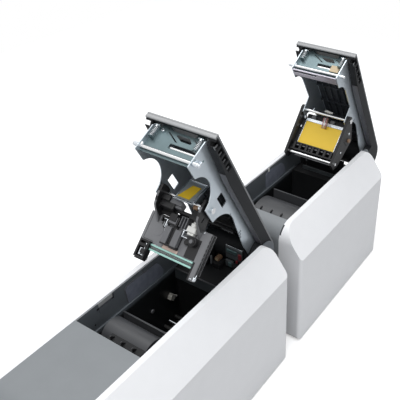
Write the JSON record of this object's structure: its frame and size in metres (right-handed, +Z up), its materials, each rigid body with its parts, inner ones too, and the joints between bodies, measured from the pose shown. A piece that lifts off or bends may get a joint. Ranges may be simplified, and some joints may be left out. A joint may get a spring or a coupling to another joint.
{
  "type": "id card printer with docked laminator",
  "caption": "Desktop card printer with a docked laminating unit, both lids raised on rear hinges, with print carriage, heater, rollers, gears and card path inside.",
  "frame": {"origin": "on the ground, below the middle of the machine's box", "axes": "+Y from the hopper end to the exit end, +Z up, +X to the right seen from the hopper end"},
  "size_m": [0.198, 0.8261, 0.4483],
  "materials": {
    "shell_white": "fine texture",
    "panel_grey": "fine texture",
    "lid_grey": "fine texture",
    "lid_dark": "matt",
    "bay_black": "matt",
    "frame_dark": "matt paint",
    "plate_metal": "bare sheet",
    "rod_steel": "ground rod",
    "spring_steel": "drawn wire",
    "carriage_grey": "matt",
    "rail_black": "matt",
    "head_metal": "machined",
    "connector_white": "matt",
    "cable_white": "smooth jacket",
    "heater_black": "matt",
    "plate_yellow": "satin paint",
    "wire_pink": "smooth jacket",
    "roller_rubber": "ground rubber",
    "gear_white": "moulded",
    "motor_metal": "satin paint",
    "board_green": "coated board",
    "foot_rubber": "matt",
    "button_grey": "gloss",
    "inlet_black": "gloss"
  },
  "bodies": {
    "base": {"printer_base_tray": "bay_black", "printer_left_cover": "shell_white", "printer_right_cover": "shell_white", "printer_left_frame": "bay_black", "printer_right_frame": "bay_black", "printer_drum_cover": "bay_black", "printer_rear_housing": "bay_black", "laminator_base_tray": "bay_black", "laminator_left_cover": "shell_white", "laminator_right_cover": "shell_white", "laminator_left_frame": "bay_black", "laminator_right_frame": "bay_black", "laminator_drum_cover": "bay_black", "laminator_rear_housing": "bay_black", "feet": "foot_rubber", "hinge_pins": "rod_steel", "printer_top_panel": "panel_grey", "printer_front_fascia": "panel_grey", "main_board": "board_green", "power_inlet": "inlet_black", "drive_motor": "motor_metal", "laminator_front_panel": "panel_grey", "docking_sleeve": "bay_black", "laminator_motor": "motor_metal"},
    "printer_lid": {"printer_lid_skin": "lid_grey", "printer_lid_frame": "lid_dark", "printer_lid_left_plate": "plate_metal", "printer_lid_right_plate": "plate_metal", "printer_lid_cross_plate": "plate_metal", "printer_tie_rods": "rod_steel", "printer_latch_springs": "spring_steel", "shield_plate": "plate_metal"},
    "printer_latch": {"printer_latch_rod": "rod_steel"},
    "print_carriage": {"carriage_plate": "carriage_grey", "carriage_left_rail": "rail_black", "carriage_right_rail": "rail_black", "print_head": "head_metal", "cable_block": "connector_white", "head_cable": "cable_white"},
    "laminator_lid": {"laminator_lid_skin": "lid_grey", "laminator_lid_frame": "lid_dark", "laminator_lid_left_plate": "plate_metal", "laminator_lid_right_plate": "plate_metal", "laminator_lid_cross_plate": "plate_metal", "laminator_tie_rods": "rod_steel", "laminator_latch_springs": "spring_steel"},
    "laminator_latch": {"laminator_latch_rod": "rod_steel"},
    "heater_unit": {"heater_frame": "heater_black", "heater_plate": "plate_yellow", "heater_rod": "rod_steel", "heater_wires": "wire_pink"},
    "platen": {"platen_roller": "roller_rubber"},
    "feed": {"feed_roller": "roller_rubber"},
    "pinion": {"motor_pinion": "gear_white"},
    "supply_hub": {"ribbon_supply_hub": "gear_white"},
    "takeup_hub": {"ribbon_takeup_hub": "gear_white"},
    "pressure": {"pressure_roller": "roller_rubber"},
    "hopper": {"hopper_door": "lid_grey"},
    "button": {"ready_button": "button_grey"},
    "rocker": {"power_rocker": "inlet_black"}
  },
  "joints": [
    {"name": "printer_lid_hinge", "type": "hinge", "parent": "base", "child": "printer_lid", "pos_m": [0, 0.00094, 0.199], "axis": [1, 0, 0], "range_deg": [0, 63.3]},
    {"name": "laminator_lid_hinge", "type": "hinge", "parent": "base", "child": "laminator_lid", "pos_m": [0, 0.34904, 0.1479], "axis": [1, 0, 0], "range_deg": [0, 59.8]},
    {"name": "printer_latch_slide", "type": "slide", "parent": "printer_lid", "child": "printer_latch", "axis": [0, 0.8934, 0.4493], "range_m": [0, 0.004], "stiffness_N_per_m": 300, "springref_m": -0.003},
    {"name": "laminator_latch_slide", "type": "slide", "parent": "laminator_lid", "child": "laminator_latch", "axis": [0, 0.8643, 0.503], "range_m": [0, 0.004], "stiffness_N_per_m": 300, "springref_m": -0.003},
    {"name": "print_carriage_float", "type": "hinge", "parent": "printer_lid", "child": "print_carriage", "pos_m": [0, -0.09825, 0.33658], "axis": [1, 0, 0], "range_deg": [0, 2], "stiffness_Nm_per_rad": 1, "springref_deg": -8.59},
    {"name": "heater_unit_float", "type": "hinge", "parent": "laminator_lid", "child": "heater_unit", "pos_m": [0, 0.28688, 0.30321], "axis": [1, 0, 0], "range_deg": [0, 2], "stiffness_Nm_per_rad": 1, "springref_deg": -8.59},
    {"name": "platen_spin", "type": "hinge", "parent": "base", "child": "platen", "pos_m": [0, -0.11604, 0.0895], "axis": [1, 0, 0], "continuous": true},
    {"name": "feed_spin", "type": "hinge", "parent": "base", "child": "feed", "pos_m": [0, -0.09004, 0.0895], "axis": [1, 0, 0], "continuous": true},
    {"name": "pinion_spin", "type": "hinge", "parent": "base", "child": "pinion", "pos_m": [0, -0.10304, 0.07855], "axis": [1, 0, 0], "continuous": true},
    {"name": "supply_hub_spin", "type": "hinge", "parent": "base", "child": "supply_hub", "pos_m": [0, -0.18054, 0.145], "axis": [1, 0, 0], "continuous": true},
    {"name": "takeup_hub_spin", "type": "hinge", "parent": "base", "child": "takeup_hub", "pos_m": [0, -0.09804, 0.139], "axis": [1, 0, 0], "continuous": true},
    {"name": "pressure_roller_spin", "type": "hinge", "parent": "base", "child": "pressure", "pos_m": [0, 0.21784, 0.0845], "axis": [1, 0, 0], "continuous": true},
    {"name": "hopper_door_hinge", "type": "hinge", "parent": "base", "child": "hopper", "pos_m": [0, -0.41176, 0.057], "axis": [1, 0, 0], "range_deg": [0, 80]},
    {"name": "ready_button_press", "type": "slide", "parent": "base", "child": "button", "axis": [0, 0, -1], "range_m": [0, 0.001], "stiffness_N_per_m": 300, "springref_m": -0.002},
    {"name": "power_rocker_tilt", "type": "hinge", "parent": "base", "child": "rocker", "pos_m": [0, 0.02369, 0.043], "axis": [1, 0, 0], "range_deg": [0, 12]}
  ],
  "couplings": [
    {"joint": "feed_spin", "follows": "platen_spin", "ratio": 1},
    {"joint": "pinion_spin", "follows": "platen_spin", "ratio": -1.8333}
  ]
}
